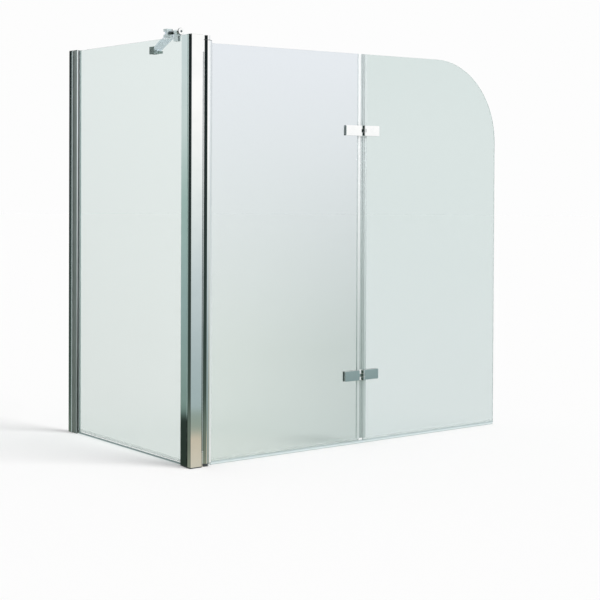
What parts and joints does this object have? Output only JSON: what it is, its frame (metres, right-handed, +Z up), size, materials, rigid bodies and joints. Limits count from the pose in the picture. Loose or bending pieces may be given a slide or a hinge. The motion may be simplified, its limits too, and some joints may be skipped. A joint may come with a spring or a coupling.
{
  "type": "folding bath screen",
  "caption": "Bath screen for an open bath corner: a fixed side pane between a wall channel and a corner post, folding front leaves on a corner pivot, and a swivelling support arm to the wall.",
  "frame": {"origin": "Middle of the underside of the corner post's foot, on the bath rim.", "axes": "+X runs from the post along the front of the bath to the folding leaves' free edge, +Y runs back to the wall, +Z is up."},
  "size_m": [1.384, 0.827, 1.434],
  "materials": {
    "post_profile": "bright polished, mirror-like",
    "chrome": "polished",
    "arm_chrome": "polished",
    "steel": "satin",
    "glass": "clear, polished",
    "clear_seal": "clear soft plastic",
    "gasket": "matt",
    "pale_gasket": "matt",
    "grey_plastic": "matt"
  },
  "bodies": {
    "fixed_panel": {"wall_channel": "post_profile", "wall_channel_cap": "chrome", "glazing_profile": "post_profile", "side_screws": "steel", "side_screw_caps": "chrome", "side_glass": "glass", "wall_gaskets": "gasket", "post_gaskets": "pale_gasket", "side_bottom_seal": "clear_seal", "post_channel": "post_profile", "channel_screws": "steel", "corner_post": "post_profile", "post_cap": "chrome", "post_foot": "grey_plastic", "pivot_seal": "gasket", "top_bracket": "chrome", "bottom_bracket": "chrome", "bracket_screws": "steel", "top_pin": "steel", "bottom_pin": "steel", "glass_clamp": "chrome", "clamp_pad": "gasket", "clamp_screws": "steel", "clamp_bolt": "chrome", "head_fork": "chrome", "head_pin": "steel"},
    "leaf_1": {"pivot_profile": "post_profile", "top_bush": "grey_plastic", "bottom_bush": "grey_plastic", "leaf_1_glass": "glass", "pivot_gaskets": "pale_gasket", "leaf_1_bottom_seal": "clear_seal", "leaf_1_fold_seal": "clear_seal", "upper_hinge_plate_1": "chrome", "upper_hinge_inner_plate_1": "chrome", "upper_hinge_pads_1": "gasket", "lower_hinge_plate_1": "chrome", "lower_hinge_inner_plate_1": "chrome", "lower_hinge_pads_1": "gasket", "hinge_screws_1": "steel"},
    "leaf_2": {"leaf_2_glass": "glass", "leaf_2_bottom_seal": "clear_seal", "leaf_2_fold_seal": "clear_seal", "upper_hinge_plate_2": "chrome", "upper_hinge_inner_plate_2": "chrome", "upper_hinge_pads_2": "gasket", "lower_hinge_plate_2": "chrome", "lower_hinge_inner_plate_2": "chrome", "lower_hinge_pads_2": "gasket", "hinge_screws_2": "steel", "upper_hinge_pin": "steel", "lower_hinge_pin": "steel"},
    "arm": {"arm_bar": "arm_chrome", "head_tongue": "chrome", "foot_tongue": "chrome"},
    "arm_foot": {"foot_fork": "chrome", "foot_pin": "steel", "wall_foot": "chrome", "foot_set_screws": "steel"}
  },
  "joints": [
    {"name": "corner_pivot", "type": "hinge", "parent": "fixed_panel", "child": "leaf_1", "pos_m": [0.0435, 0.008, 0], "axis": [0, 0, 1], "range_deg": [-80, 90]},
    {"name": "fold_hinge", "type": "hinge", "parent": "leaf_1", "child": "leaf_2", "pos_m": [0.7055, -0.0025, 0], "axis": [0, 0, 1], "range_deg": [-175, 0]},
    {"name": "arm_swing", "type": "hinge", "parent": "fixed_panel", "child": "arm", "pos_m": [-0.0075, 0.155, 1.414], "axis": [0, 0, 1], "range_deg": [-60, 29]},
    {"name": "foot_swivel", "type": "hinge", "parent": "arm", "child": "arm_foot", "pos_m": [0.3365, 0.766, 1.42], "axis": [0, 0, 1], "range_deg": [-60, 60]}
  ]
}
